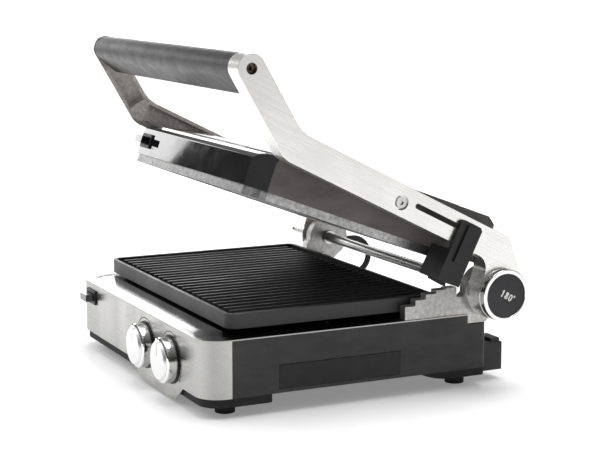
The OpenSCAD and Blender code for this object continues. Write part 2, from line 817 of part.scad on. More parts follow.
// side outline of the lid casing: low nose, rising top, level back
module lid_outline(inset) {
    polygon([[lid_y + inset, cover_z], [lid_y + inset, cover_z + 0.58 * lid_h],
             [lid_y + 2 + inset, cover_z + 0.65 * lid_h - inset / 2],
             [lid_y + 7 + inset / 2, cover_z + 0.71 * lid_h - inset],
             [lid_y + 24, cover_z + 0.79 * lid_h - inset], [lid_y + 60, cover_z + 0.9 * lid_h - inset],
             [lid_y + 130, lid_top - inset], [lid_back - 12, lid_top - inset],
             [lid_back - inset, lid_top - 8 - inset / 2], [lid_back - inset, cover_z]]);
}

// a rectangle with its front corners cut off
module wide_plan(hw, y0, y1) {
    polygon([[-hw + corner_cut[0], y0], [hw - corner_cut[0], y0], [hw, y0 + corner_cut[1]],
             [hw, y1], [-hw, y1], [-hw, y0 + corner_cut[1]]]);
}

// casing solid, shrunk by inset on every side but the underside
module lid_solid(inset) {
    intersection() {
        side(-lid_wide + inset, lid_wide - inset) lid_outline(inset);
        translate([0, 0, cover_z - 1]) linear_extrude(lid_h + 2) {
            wide_plan(lid_wide - inset, lid_y + inset, step_y - inset);
            plan(lid_hw - inset, lid_y + 40, lid_back - inset, 1, 6);
        }
    }
}

module lid_casing() {
    difference() {
        lid_solid(0);
        translate([0, 0, -eps]) lid_solid(wall);
        translate([0, pivot_y - screw_u, pivot_z + screw_v]) rod_x(-body_w, body_w, 5 + fit);
    }
}

// where the gloss cover ends: its nose and the front of the top
module cover_region(gap) {
    cover_back = lid_y + 170;
    box([-body_w, lid_y - 1, 0], [body_w, lid_y + corner_cut[1] + 1 - gap, lid_top + 1]);
    box([-lid_wide + wall + 1 + gap, lid_y - 1, cover_z + 0.5 * lid_h],
        [lid_wide - wall - 1 - gap, cover_back - gap, lid_top + 1]);
}

module lid_cover() {
    color([0.05, 0.05, 0.06]) lid_pose() difference() {
        intersection() {
            lid_casing();
            cover_region(0);
        }
        upper_opening();
    }
}

module lid_shell() {
    color([0.25, 0.24, 0.24]) lid_pose() difference() {
        lid_casing();
        cover_region(0);
    }
}

module upper_opening() {
    translate([upper_button_x, lid_y, upper_button_z])
        box([-button_w / 2 - 2, -1, -button_h / 2 - 2], [button_w / 2 + 2, 9, button_h / 2 + 2]);
}

module lid_rear_cover() {
    color([0.2, 0.2, 0.2]) lid_pose()
        translate([0, 0, cover_z]) linear_extrude(2) plan(lid_hw - wall, plate_back + 1, lid_back - wall, 1, 6);
}

module upper_plate() {
    plate_front = lid_y + 2;
    color([0.3, 0.3, 0.31]) lid_pose() {
        // wide rim in front of the height rest
        translate([0, 0, cover_z - upper_h]) linear_extrude(upper_h) difference() {
            wide_plan(lid_wide - 2, plate_front, pivot_y - 101);
            translate([-plate_hw + 5, plate_front + 5]) square([2 * plate_hw - 10, body_d]);
        }
        translate([0, plate_front + 1 + plate_back, cover_z]) rotate([180, 0, 0])
            pan_flipped(plate_front + 1);
        // lug that the upper latch reaches through
        difference() {
            box([upper_button_x - 8, plate_y + 12, cover_z - 1], [upper_button_x + 8, plate_y + 15, cover_z + 5.5]);
            box([upper_button_x - 5, plate_y + 11, cover_z + 1], [upper_button_x + 5, plate_y + 16, cover_z + 4.2]);
        }
    }
}

// the pan turned over, so that its large corner radii stay in front
module pan_flipped(y0) {
    translate([0, y0 + plate_back, 0]) mirror([0, 1, 0]) ribbed_pan(plate_hw, y0, plate_back, upper_h, 24);
}

module upper_reflector() {
    color("gainsboro") lid_pose()
        sheet_pan(deck_hw, well_y, well_back, cover_z, cover_z + 14, false);
}

module upper_element() {
    color("slategray") lid_pose() heater(cover_z + 4, well_y + 24, well_back - 24, 10 - sheet);
}

module upper_bezel() {
    color([0.09, 0.09, 0.09]) lid_pose() translate([upper_button_x, lid_y, upper_button_z]) mirror([0, 0, 1]) bezel();
}

module upper_button() {
    color([0.08, 0.08, 0.08]) lid_pose() translate([upper_button_x, lid_y, upper_button_z]) mirror([0, 0, 1])
        release(plate_y + 21 - lid_y, upper_button_z - cover_z - 0.8, upper_button_z - cover_z - 3.8);
}

module upper_spring() {
    color("silver") lid_pose() translate([upper_button_x, lid_y, upper_button_z]) mirror([0, 0, 1]) leaf_spring();
}

// ---------- rear of the base ----------

module at_gland() {
    translate([-(body_hw - 75), body_d, ground_gap + 14]) children();
}

module at_lead_exit() {
    translate([-(bracket_in + 4), body_d, pivot_z - 4.5 - 2 * lead_loop]) children();
}

module cord_gland() {
    color([0.08, 0.08, 0.08]) base_pose() at_gland() difference() {
        union() {
            rod_y(-wall - 2, 1, 6);
            rod_y(0, 3, 9);
            rod_y(2, 14, 6.5);
        }
        rod_y(-wall - 3, 15, 4);
    }
}

module cord_cleats() {
    color([0.14, 0.14, 0.15]) base_pose() both_sides() {
        box([body_hw - 46, body_d, ground_gap - 10], [body_hw - 18, body_d + 32, ground_gap + 20]);
        box([body_hw - 44, body_d + 19, ground_gap + 19], [body_hw - 20, body_d + 30, ground_gap + 24]);
    }
}

module terminal_block() {
    color("beige") base_pose() difference() {
        box([-(body_hw - 50), body_d - 90, ground_gap + wall], [-(body_hw - 95), body_d - 70, ground_gap + wall + 16]);
        for (i = [0 : 2]) translate([-(body_hw - 59) + i * 13, body_d - 80, ground_gap + wall + 8])
            cylinder(h = 10, r = 3);
    }
}

// stiff conduit for the lid's supply: out of the rear wall, round a bend and into the left bracket
module lid_conduit() {
    lead_x = -(bracket_in + 4);
    top_z = pivot_z - 4.5;
    color([0.17, 0.17, 0.18]) base_pose() difference() {
        union() {
            translate([lead_x, 0, top_z]) rod_y(pivot_y + hub_r - 8, lead_y, lead_r);
            translate([lead_x, lead_y, top_z - lead_loop]) rotate([90, 0, 90]) rotate([0, 0, -90])
                rotate_extrude(angle = 180) translate([lead_loop, 0]) circle(r = lead_r);
            translate([lead_x, 0, top_z - 2 * lead_loop]) rod_y(body_d - wall - 4, lead_y, lead_r);
        }
        translate([0, pivot_y, pivot_z]) rod_x(-body_w, 0, hub_r - 2);
    }
}

// ---------- the assembly ----------

base_shell();
base_floor();
front_panel();
deck_plate();
lower_plate();
lower_reflector();
lower_element();
drip_tray();
thermostat_left();
thermostat_right();
knob_rings();
knob_left();
knob_face_left();
knob_shaft_left();
knob_right();
knob_face_right();
knob_shaft_right();
lower_bezel();
lower_button();
lower_spring();
rack_bracket();
left_bracket();
bracket_bolts();
rubber_feet();
floor_screws();
cord_gland();
cord_cleats();
terminal_block();
lid_conduit();
hinge_axle();
drum_right();
drum_left();
arm_right();
arm_left();
handle_grip();
handle_rod();
handle_screws();
hub_ring_right();
hub_ring_left();
hub_cap_left();
fold_button();
fold_spring();
height_slider();
slider_pin();
slider_plate();
pivot_screws();
pivot_rod();
lid_cover();
lid_shell();
lid_rear_cover();
upper_plate();
upper_reflector();
upper_element();
upper_bezel();
upper_button();
upper_spring();
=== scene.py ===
import json
import math

import bmesh
import bpy
from mathutils import Matrix, Vector


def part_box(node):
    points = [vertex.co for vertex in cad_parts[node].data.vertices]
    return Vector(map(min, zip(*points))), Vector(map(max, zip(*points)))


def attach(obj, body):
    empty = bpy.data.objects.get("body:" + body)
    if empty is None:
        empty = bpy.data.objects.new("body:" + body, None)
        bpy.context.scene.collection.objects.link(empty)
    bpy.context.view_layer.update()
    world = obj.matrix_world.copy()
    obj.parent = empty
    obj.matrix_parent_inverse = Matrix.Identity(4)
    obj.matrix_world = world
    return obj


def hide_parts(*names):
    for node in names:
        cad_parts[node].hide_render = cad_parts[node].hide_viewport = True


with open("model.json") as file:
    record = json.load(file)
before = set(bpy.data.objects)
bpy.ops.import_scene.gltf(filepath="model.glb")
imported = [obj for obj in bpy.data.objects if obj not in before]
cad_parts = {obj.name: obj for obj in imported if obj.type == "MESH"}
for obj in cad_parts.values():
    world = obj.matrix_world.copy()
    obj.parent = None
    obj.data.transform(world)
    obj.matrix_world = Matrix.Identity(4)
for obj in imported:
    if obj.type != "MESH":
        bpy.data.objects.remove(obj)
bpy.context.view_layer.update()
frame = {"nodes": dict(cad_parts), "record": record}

bl_info = {
    "name": "Panini press",
    "version": (1, 0, 0),
    "blender": (4, 5, 0),
    "location": "View3D > Sidebar > Press",
    "description": "Finishes, softened edges, markings and studio of a panini press",
    "category": "Object",
}

MM = 0.001
ARM_TILT = math.radians(26.6)
HINGE = Vector(next(j for j in frame["record"]["behaviour"]["joints"] if j["name"] == "lid_hinge")["pos_m"])
BODY_OF = {n: b for b, nodes in frame["record"]["behaviour"]["bodies"].items() for n in nodes}

# the arm's outer face, measured along the arm and up from the hinge
HUB_END = 45 * MM
HUB_BORE = 26 * MM
BAR_END = 270 * MM
BAR_HEIGHT = 40 * MM
SLOT_CLEAR = 12 * MM
GRIP_SCREW = (351 * MM, 86.5 * MM)
SCREW_CLEAR = 8 * MM
ON_FACE = 0.2 * MM
RECESS = 4 * MM
BEVEL_REACH = 0.3 * MM
BEVEL_FACING = (0.05, 0.97)
SIDEWAYS = 0.5

# how closely meshes are merged, and what counts as flat
MERGE = 0.004 * MM
BEVEL_MERGE = 0.002 * MM
FLAT = math.radians(0.6)
RISER_SLACK = 0.05 * MM
UPRIGHT_SLACK = 0.01 * MM

# printed marks
PRINT_THICK = 0.06 * MM
PANEL_PROUD = 0.05 * MM
BUTTON_PROUD = 0.08 * MM
SWEEP_RADIUS = 27.5 * MM
SWEEP_START = math.radians(-130)
SWEEP_ANGLE = math.radians(260)
SWEEP_STEPS = 64
TICK_LONG = 2.6 * MM
TICK_COUNT = 6
TICK_START = -125
TICK_STEP = 50
LOOP_STEPS = 40

# the studio, in metres and watts
FLOOR_HALF = 14.0
SUBJECT = Vector((0, 0, 0.15))
CARD_PLACE = (2.6, -1.25, 0.62)
CARD_SIZE = (1.0, 0.9)
LAMPS = {
    "key_softbox": {
        "place": (-1.1, -1.9, 1.9), "aim": (0, 0, 0.15), "wide": 1.5, "tall": 1.5, "power": 9},
    "top_softbox": {
        "place": (0.1, 0.2, 2.2), "aim": (0, 0, 0.1), "wide": 1.6, "tall": 1.6, "power": 34},
    "left_softbox": {
        "place": (-1.75, 0.08, 0.56), "aim": (0, 0.08, 0.30), "wide": 1.70, "tall": 0.56, "power": 10},
}
CAMERA_PLACE = (1.5478, -0.74295, 0.4293)
CAMERA_AIM = Vector((-0.8874, 0.4323, -0.1601))
CAMERA_LENS = 96.27
CAMERA_SENSOR = 36.0

SPECIAL = {"handle_screws": "screw_dark", "drip_tray": "tray_plastic", "fold_button": "disc_plastic",
           "hub_cap_left": "disc_plastic"}
SLOT_OF = {s["node"]: s["material_slot"] for s in frame["record"]["subparts"]}


# ---------- shader maths ----------

class Wire:
    """A socket that can be used in a Python expression."""

    def __init__(self, graph, socket):
        self.graph = graph
        self.socket = socket

    def _math(self, operation, first, second):
        return self.graph.node("ShaderNodeMath", {"operation": operation}, {0: first, 1: second})

    def __add__(self, other):
        return self._math("ADD", self, other)

    def __radd__(self, other):
        return self._math("ADD", other, self)

    def __sub__(self, other):
        return self._math("SUBTRACT", self, other)

    def __rsub__(self, other):
        return self._math("SUBTRACT", other, self)

    def __mul__(self, other):
        return self._math("MULTIPLY", self, other)

    def __rmul__(self, other):
        return self._math("MULTIPLY", other, self)


class Graph:
    """Builds one material's or world's nodes."""

    def __init__(self, tree):
        self.tree = tree
        tree.nodes.clear()

    def node(self, kind, settings=None, inputs=None, out=0):
        made = self.tree.nodes.new(kind)
        for key, value in (settings or {}).items():
            if key == "stops":
                for element, (place, colour) in zip(made.color_ramp.elements, value):
                    element.position = place
                    element.color = colour
            else:
                setattr(made, key, value)
        for key, value in (inputs or {}).items():
            socket = made.inputs[key]
            if isinstance(value, Wire):
                self.tree.links.new(value.socket, socket)
            else:
                socket.default_value = value
        return Wire(self, made.outputs[out]) if made.outputs else made

    def place(self, stretch=(1, 1, 1), turn=(0, 0, 0)):
        """Object coordinates, turned first and then stretched."""
        here = self.node("ShaderNodeTexCoord", out=3)
        turned = self.node("ShaderNodeMapping", {}, {"Vector": here, "Rotation": turn})
        return self.node("ShaderNodeMapping", {}, {"Vector": turned, "Scale": stretch})

    def noise(self, where, scale, detail=3.0, rough=0.55):
        return self.node("ShaderNodeTexNoise", {}, {
            "Vector": where, "Scale": scale, "Detail": detail, "Roughness": rough})

    def span(self, value, low, high, from_low=0.0, from_high=1.0):
        return self.node("ShaderNodeMapRange", {"clamp": True}, {
            "Value": value, "From Min": from_low, "From Max": from_high, "To Min": low, "To Max": high})

    def tint(self, factor, first, second):
        return self.node("ShaderNodeMix", {"data_type": "RGBA"}, {0: factor, 6: first, 7: second}, out=2)

    def bump(self, height, strength, distance):
        return self.node("ShaderNodeBump", {}, {
            "Height": height, "Strength": strength, "Distance": distance})


def rgba(colour, gain=1.0):
    return (*[min(1.0, c * gain) for c in colour[:3]], 1.0)


def surface(name, build, **fixed):
    """A material whose build(graph) gives the links of the shader, and whose fixed values are set on it."""
    material = bpy.data.materials.new(name)
    material.use_nodes = True
    graph = Graph(material.node_tree)
    inputs = {key.replace("_", " ").title().replace("Ior", "IOR"): value for key, value in fixed.items()}
    inputs.update(build(graph))
    shader = graph.node("ShaderNodeBsdfPrincipled", {}, inputs)
    graph.node("ShaderNodeOutputMaterial", {}, {"Surface": shader})
    return material


def brushed(name, colour, rough, stretch, turn=(0, 0, 0),
            contrast=0.12, relief=0.08, blotch=0.06, painted_reflection_bands=0.0):
    """Metal with fine lines along the axis that has the least stretch, and soft upright darker bands of
    painted reflection.
    """
    def build(g):
        lines = g.noise(g.place(stretch, turn), 1.0, 4.0, 0.65)
        cloud = g.noise(g.place(), 22.0, 3.0)
        # upright darker bands painted into the colour: a painted reflection of the lights on the steel
        reflection_band = g.noise(g.place((1, 1, 0.05)), 17.0, 2.0, 0.5)
        shade = g.span(lines, 1.0 - contrast, 1.0, 0.3, 0.7) - g.span(cloud, 0.0, blotch, 0.35, 0.75)
        shade = shade - g.span(reflection_band, 0.0, painted_reflection_bands, 0.38, 0.62)
        return {
            "Base Color": g.tint(shade, rgba(colour, 0.55), rgba(colour)),
            "Roughness": (g.span(lines, rough - 0.05, rough + 0.07, 0.3, 0.7)
                          + g.span(cloud, 0.0, 0.05, 0.4, 0.7)),
            "Normal": g.bump(lines, relief, 0.0002),
        }
    return surface(name, build, metallic=1.0)


def cast_metal(name, colour, rough=0.46, dark=0.68):
    """Rough sand-cast metal with pits and small blotches; dark is how deep the blotches go."""
    def build(g):
        grit = g.noise(g.place(), 1500.0, 4.0, 0.7)
        lumps = g.noise(g.place(), 240.0, 3.0)
        pits = g.node("ShaderNodeTexVoronoi", {}, {"Vector": g.place(), "Scale": 900.0})
        cloud = g.noise(g.place(), 30.0, 3.0)
        height = grit * 0.5 + lumps * 0.6 + g.span(pits, 0.0, 0.5, 0.0, 0.3)
        return {
            "Base Color": g.tint(g.span(lumps, 0.0, 1.0, 0.35, 0.7), rgba(colour, dark), rgba(colour)),
            "Roughness": g.span(cloud, rough - 0.06, rough + 0.12, 0.3, 0.7),
            "Normal": g.bump(height, 0.35, 0.0004),
        }
    return surface(name, build, metallic=1.0)


def polished(name, colour, rough=0.07):
    """Plated metal with faint smears."""
    def build(g):
        smear = g.noise(g.place((3, 3, 1)), 34.0, 5.0, 0.7)
        fine = g.noise(g.place(), 1800.0, 2.0)
        return {
            "Base Color": g.tint(g.span(smear, 0.0, 1.0, 0.4, 0.75), rgba(colour), rgba(colour, 0.86)),
            "Roughness": g.span(smear, rough, rough + 0.09, 0.45, 0.7),
            "Normal": g.bump(fine, 0.015, 0.0001),
        }
    return surface(name, build, metallic=1.0)


def moulded(name, colour, rough, grain=1400.0, relief=0.10, spread=0.35, wear=0.10):
    """Moulded plastic with a spark-eroded grain, faint flow marks and rubbed spots."""
    def build(g):
        skin = g.noise(g.place(), grain, 3.0, 0.6)
        flow = g.noise(g.place((1, 1, 2.5)), 16.0, 4.0, 0.6)
        rubbed = g.noise(g.place(), 75.0, 5.0, 0.7)
        shade = g.span(flow, 0.0, 1.0, 0.3, 0.7)
        return {
            "Base Color": g.tint(shade, rgba(colour, 1.0 - spread), rgba(colour, 1.0 + spread)),
            "Roughness": g.span(rubbed, rough - wear * 0.5, rough + wear, 0.35, 0.65) + skin * 0.04,
            "Normal": g.bump(skin, relief, 0.0002),
        }
    return surface(name, build, specular_ior_level=0.32)


def lacquer(name, colour, rough=0.07):
    """High-gloss moulding with hairline swirls and finger smears."""
    def build(g):
        swirl = g.noise(g.place((40, 40, 40)), 9.0, 6.0, 0.75)
        smear = g.noise(g.place(), 26.0, 4.0, 0.6)
        return {
            "Base Color": g.tint(g.span(smear, 0.0, 1.0, 0.35, 0.7), rgba(colour), rgba(colour, 1.8)),
            "Roughness": g.span(smear, rough, rough + 0.08, 0.45, 0.72) + g.span(swirl, 0.0, 0.02),
            "Normal": g.bump(swirl, 0.012, 0.0002),
        }
    return surface(name, build, specular_ior_level=0.6, coat_weight=0.5, coat_roughness=0.03)


def coated(name, colour, fleck, rough=0.4, metallic=0.25):
    """Non-stick coating with small flecks over a blasted surface."""
    def build(g):
        blast = g.noise(g.place(), 1100.0, 4.0, 0.7)
        spots = g.node("ShaderNodeTexVoronoi", {}, {"Vector": g.place(), "Scale": 520.0})
        cloud = g.noise(g.place(), 24.0, 4.0)
        mask = g.span(spots, 1.0, 0.0, 0.08, 0.16)
        base = g.tint(g.span(cloud, 0.0, 1.0, 0.3, 0.7), rgba(colour, 0.75), rgba(colour, 1.3))
        return {
            "Base Color": g.tint(mask * 0.5, base, rgba(fleck)),
            "Roughness": g.span(cloud, rough - 0.05, rough + 0.1, 0.3, 0.7) + g.span(blast, -0.04, 0.06),
            "Normal": g.bump(blast, 0.16, 0.0003),
        }
    return surface(name, build, metallic=metallic)


def elastomer(name, colour):
    """Rubber with a dull, slightly dusty skin."""
    def build(g):
        skin = g.noise(g.place(), 900.0, 4.0, 0.6)
        dust = g.noise(g.place(), 60.0, 5.0, 0.7)
        return {
            "Base Color": g.tint(g.span(dust, 0.0, 1.0, 0.45, 0.8), rgba(colour), rgba(colour, 2.2)),
            "Roughness": g.span(dust, 0.72, 0.9, 0.3, 0.7),
            "Normal": g.bump(skin, 0.2, 0.0003),
        }
    return surface(name, build, specular_ior_level=0.35)


# ---------- mesh helpers ----------

def add_piece(name, bm, finish, body, slot, *replaced):
    """A finished mesh, at the origin, riding on its body."""
    mesh = bpy.data.meshes.new(name)
    bm.normal_update()
    bm.to_mesh(mesh)
    bm.free()
    piece = bpy.data.objects.new(name, mesh)
    bpy.context.scene.collection.objects.link(piece)
    mesh.materials.append(bpy.data.materials[finish])
    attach(piece, body)
    if replaced:
        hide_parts(*replaced)
    return piece


def slope_steps(bm, step, floor):
    """Turns a stair of low steps above floor into one slope, by drawing each riser together."""
    risers = []
    for edge in bm.edges:
        low, high = sorted((v.co for v in edge.verts), key=lambda co: co.z)
        upright = (low.xy - high.xy).length < UPRIGHT_SLACK
        if upright and low.z > floor - UPRIGHT_SLACK and abs(high.z - low.z - step) < RISER_SLACK:
            risers.append(edge)
    bmesh.ops.collapse(bm, edges=risers, uvs=False)


def softened(node, width, segments=2, sharp=30.0, only=None, prepare=None):
    """A merged copy of a CAD node with its sharp edges rounded; only(edge) narrows the choice."""
    bm = bmesh.new()
    bm.from_mesh(frame["nodes"][node].data)
    bmesh.ops.remove_doubles(bm, verts=bm.verts, dist=MERGE)
    if prepare:
        prepare(bm)
    bmesh.ops.dissolve_limit(bm, angle_limit=FLAT, verts=bm.verts, edges=bm.edges)
    edges = [e for e in bm.edges if e.is_manifold and e.calc_face_angle(0.0) > math.radians(sharp)
             and (only is None or only(e))]
    bmesh.ops.bevel(bm, geom=edges, offset=width, offset_type="OFFSET", segments=segments, profile=0.5,
                    affect="EDGES", clamp_overlap=True, material=-1, harden_normals=False)
    bmesh.ops.remove_doubles(bm, verts=bm.verts, dist=BEVEL_MERGE)
    for face in bm.faces:
        face.smooth = True
    for edge in bm.edges:
        edge.smooth = not edge.is_manifold or edge.calc_face_angle(0.0) < math.radians(sharp)
    return bm


def soft_piece(node, name, width, segments=2, sharp=30.0, only=None, prepare=None):
    """Shows a softened copy in place of the node, with the node's own finish."""
    slot = SLOT_OF[node]
    finish = SPECIAL.get(node, slot)
    bm = softened(node, width, segments, sharp, only, prepare)
    piece = add_piece(name, bm, finish, BODY_OF[node], slot, node)
    crisp = piece.modifiers.new("even_shading", "WEIGHTED_NORMAL")
    crisp.keep_sharp = True
    return piece


# ---------- sizes and colours ----------

def length_setting(label, text, value):
    return bpy.props.FloatProperty(name=label, description=text, default=value, unit="LENGTH")


class PressSizes(bpy.types.PropertyGroup):
    arm_edge: length_setting("Arm edge", "Width of the bright bevel along the arms", 2.2 * MM)
    casting_edge: length_setting("Casting edge", "Rounding of the cast brackets", 0.7 * MM)
    moulding_edge: length_setting("Moulding edge", "Rounding of the plastic mouldings", 0.9 * MM)
    plate_edge: length_setting("Plate edge", "Rounding of the cooking plates", 0.6 * MM)
    sheet_edge: length_setting("Sheet edge", "Rounding of the pressed steel", 0.5 * MM)
    shoulder: length_setting("Shoulder", "Rounding between the lid's top and front", 4.0 * MM)
    deck_rise: length_setting("Deck rise", "Height of the deck's raised middle", 4.0 * MM)
    deck_step: length_setting("Deck step", "Height of one step of the deck's edge", 1.0 * MM)
    numeral: length_setting("Numeral", "Height of the figures on the fold button", 7.4 * MM)
    stroke: length_setting("Stroke", "Stroke of the figures on the fold button", 1.35 * MM)
    lean: bpy.props.FloatProperty(
        name="Lean", description="Downward lean of the figures, degrees", default=31.0)
    mark: length_setting("Mark", "Width of the printed lines round the knobs", 0.8 * MM)


def colour_setting(label, text, value):
    return bpy.props.FloatVectorProperty(
        name=label, description=text, default=value, subtype="COLOR", size=3, min=0.0, max=1.0)


class PressColours(bpy.types.PropertyGroup):
    steel: colour_setting("Steel", "Brushed steel of the front panel", (0.50, 0.495, 0.48))
    arm: colour_setting("Arms", "Brushed light metal of the arms", (0.80, 0.79, 0.77))
    casting: colour_setting("Castings", "Cast brackets and height rest", (0.60, 0.59, 0.575))
    case: colour_setting("Case", "Anthracite plastic of the base and lid", (0.036, 0.0335, 0.035))
    gloss: colour_setting("Gloss cover", "Black gloss cover of the lid", (0.005, 0.005, 0.006))
    grip: colour_setting("Grip", "Brown-grey grip", (0.014, 0.0118, 0.0122))
    coating: colour_setting("Coating", "Non-stick coating of the plates", (0.034, 0.034, 0.0365))
    print: colour_setting("Print", "Printed markings", (0.85, 0.85, 0.84))


# ---------- operators ----------

class PRESS_OT_finishes(bpy.types.Operator):
    """Makes every finish and lays it on the parts it belongs to"""
    bl_idname = "press.finishes"
    bl_label = "Finishes"

    def execute(self, context):
        tone = context.scene.press_colours
        along = (ARM_TILT, 0, 0)
        for plain in list(bpy.data.materials):
            bpy.data.materials.remove(plain)
        moulded("base_plastic", tone.case, 0.42, relief=0.07)
        moulded("floor_plastic", (0.014, 0.014, 0.0145), 0.6)
        moulded("disc_plastic", (0.030, 0.028, 0.031), 0.42, relief=0.05)
        moulded("tray_plastic", (0.013, 0.0125, 0.013), 0.40, relief=0.07)
        # the front panel's steel gets strong upright bands of painted reflection
        brushed("brushed", tone.steel, 0.24, (8, 900, 1400), contrast=0.12, relief=0.05, painted_reflection_bands=0.55)
        brushed("deck_steel", (0.36, 0.358, 0.356), 0.15, (6, 800, 900), contrast=0.12, relief=0.04)
        coated("nonstick", tone.coating, (0.20, 0.20, 0.20), 0.40, 0.15)
        cast_metal("upper_nonstick", (0.46, 0.46, 0.457), 0.30, 0.55)
        brushed("reflector", (0.75, 0.75, 0.74), 0.28, (20, 500, 500))
        brushed("element", (0.22, 0.20, 0.19), 0.5, (60, 60, 60), contrast=0.4, blotch=0.3)
        polished("knob_chrome", (0.88, 0.88, 0.88), 0.06)
        brushed("knob_satin", (0.84, 0.84, 0.84), 0.30, (900, 60, 60), contrast=0.1, relief=0.04)
        brushed("steel_small", (0.6, 0.6, 0.59), 0.28, (150, 900, 900))
        moulded("black_trim", (0.013, 0.0125, 0.0135), 0.36, relief=0.05, wear=0.08)
        lacquer("gloss_black", tone.gloss, 0.035)
        moulded("lid_plastic", (0.092, 0.084, 0.081), 0.38, relief=0.06)
        brushed("spring_steel", (0.6, 0.6, 0.6), 0.3, (80, 900, 900))
        cast_metal("cast", tone.casting)
        brushed("arm_metal", tone.arm, 0.27, (800, 7, 900), along, contrast=0.06, relief=0.03, blotch=0.05)
        polished("arm_edge", (0.90, 0.895, 0.88), 0.16)
        cast_metal("arm_inside", (0.80, 0.755, 0.725), 0.46)
        polished("screw_dark", (0.10, 0.08, 0.07), 0.30)
        polished("hub_chrome", (0.86, 0.86, 0.85), 0.10)
        moulded("grip", tone.grip, 0.34, grain=2200.0, relief=0.05, wear=0.08)
        elastomer("rubber", (0.016, 0.016, 0.017))
        elastomer("lead_rubber", (0.02, 0.02, 0.022))
        moulded("ceramic", (0.6, 0.57, 0.5), 0.55)
        moulded("print_light", tone.print, 0.55, grain=3000.0, relief=0.02, spread=0.04)
        moulded("print_dark", (0.02, 0.02, 0.02), 0.5, grain=3000.0, relief=0.02, spread=0.1)
        for node, part in frame["nodes"].items():
            part.data.materials.clear()
            part.data.materials.append(bpy.data.materials[SPECIAL.get(node, SLOT_OF[node])])
        return {"FINISHED"}


class PRESS_OT_arms(bpy.types.Operator):
    """Arms with bright bevels, the grip, the hub rings and the height slider"""
    bl_idname = "press.arms"
    bl_label = "Arms and grip"

    def execute(self, context):
        size = context.scene.press_sizes
        for node, side in (("arm_right", 1), ("arm_left", -1)):
            low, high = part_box(node)
            outer = max(abs(low[0]), abs(high[0]))

            def outline(edge, side=side, outer=outer):
                """The long edges of the outer face, without its holes and slot."""
                on_face = all(abs(side * v.co.x - outer) < ON_FACE for v in edge.verts)
                return on_face and self.is_outside(edge)

            arm = soft_piece(node, node + "_casting", size.arm_edge, 3, 30.0, outline)
            self.face_finishes(arm.data, side, outer)
        soft_piece("handle_grip", "grip_moulding", size.moulding_edge, 3)
        soft_piece("height_slider", "slider_moulding", size.moulding_edge, 2)
        for node in ("hub_ring_right", "hub_ring_left"):
            soft_piece(node, node + "_turned", size.moulding_edge, 3)
        soft_piece("fold_button", "fold_button_cap", size.sheet_edge, 2)
        soft_piece("hub_cap_left", "hub_cap_moulding", size.sheet_edge, 2)
        return {"FINISHED"}

    @staticmethod
    def face_finishes(mesh, side, outer):
        """Brushed outer face, polished bevels round it and as-cast walls and inner face."""
        mesh.materials.append(bpy.data.materials["arm_edge"])
        mesh.materials.append(bpy.data.materials["arm_inside"])
        for face in mesh.polygons:
            facing = side * face.normal.x
            reach = max(side * mesh.vertices[v].co.x for v in face.vertices)
            recessed = abs(face.center.x) < outer - RECESS and facing > SIDEWAYS
            if facing < -SIDEWAYS or recessed:
                face.material_index = 2
            elif outer - reach < BEVEL_REACH and BEVEL_FACING[0] < facing < BEVEL_FACING[1]:
                face.material_index = 1

    @staticmethod
    def is_outside(edge):
        """True on the arm's outline, and false round the hub's bore, the slot and the grip's screw."""
        if not any(abs(face.normal.x) < SIDEWAYS for face in edge.link_faces):
            return False
        from_hinge = sum((v.co for v in edge.verts), Vector()) / 2 - HINGE
        forward = -from_hinge.y * math.cos(ARM_TILT) + from_hinge.z * math.sin(ARM_TILT)
        up = from_hinge.y * math.sin(ARM_TILT) + from_hinge.z * math.cos(ARM_TILT)
        if forward < HUB_END:
            return math.hypot(forward, up) > HUB_BORE
        if forward < BAR_END:
            return abs(up - BAR_HEIGHT) > SLOT_CLEAR
        return math.hypot(forward - GRIP_SCREW[0], up - GRIP_SCREW[1]) > SCREW_CLEAR


class PRESS_OT_lid(bpy.types.Operator):
    """Gloss cover, casing and ribbed plate of the lid"""
    bl_idname = "press.lid"
    bl_label = "Lid"

    def execute(self, context):
        size = context.scene.press_sizes
        soft_piece("lid_cover", "lid_gloss_cover", size.moulding_edge, 3, 12.0,
                   prepare=lambda bm: self.round_shoulder(bm, size.shoulder))
        soft_piece("lid_shell", "lid_casing", size.moulding_edge, 2, 12.0)
        soft_piece("upper_plate", "upper_ribbed_plate", size.plate_edge, 2)
        soft_piece("upper_bezel", "upper_release_frame", size.sheet_edge, 2)
        soft_piece("upper_button", "upper_release_key", size.sheet_edge, 2)
        return {"FINISHED"}

    @staticmethod
    def round_shoulder(bm, radius):
        """Rounds the edge between the cover's top and its front and front corners."""
        bmesh.ops.dissolve_limit(bm, angle_limit=math.radians(2.0), verts=bm.verts, edges=bm.edges)
        out = []
        for edge in bm.edges:
            if not edge.is_manifold:
                continue
            walls = [f for f in edge.link_faces if f.normal.y < -0.35 and f.normal.z < 0.55]
            tops = [f for f in edge.link_faces if f.normal.z > 0.7]
            if walls and tops and edge.is_convex:
                out.append(edge)
        bmesh.ops.bevel(bm, geom=out, offset=radius, offset_type="OFFSET", segments=5, profile=0.5,
                        affect="EDGES", clamp_overlap=True, material=-1)


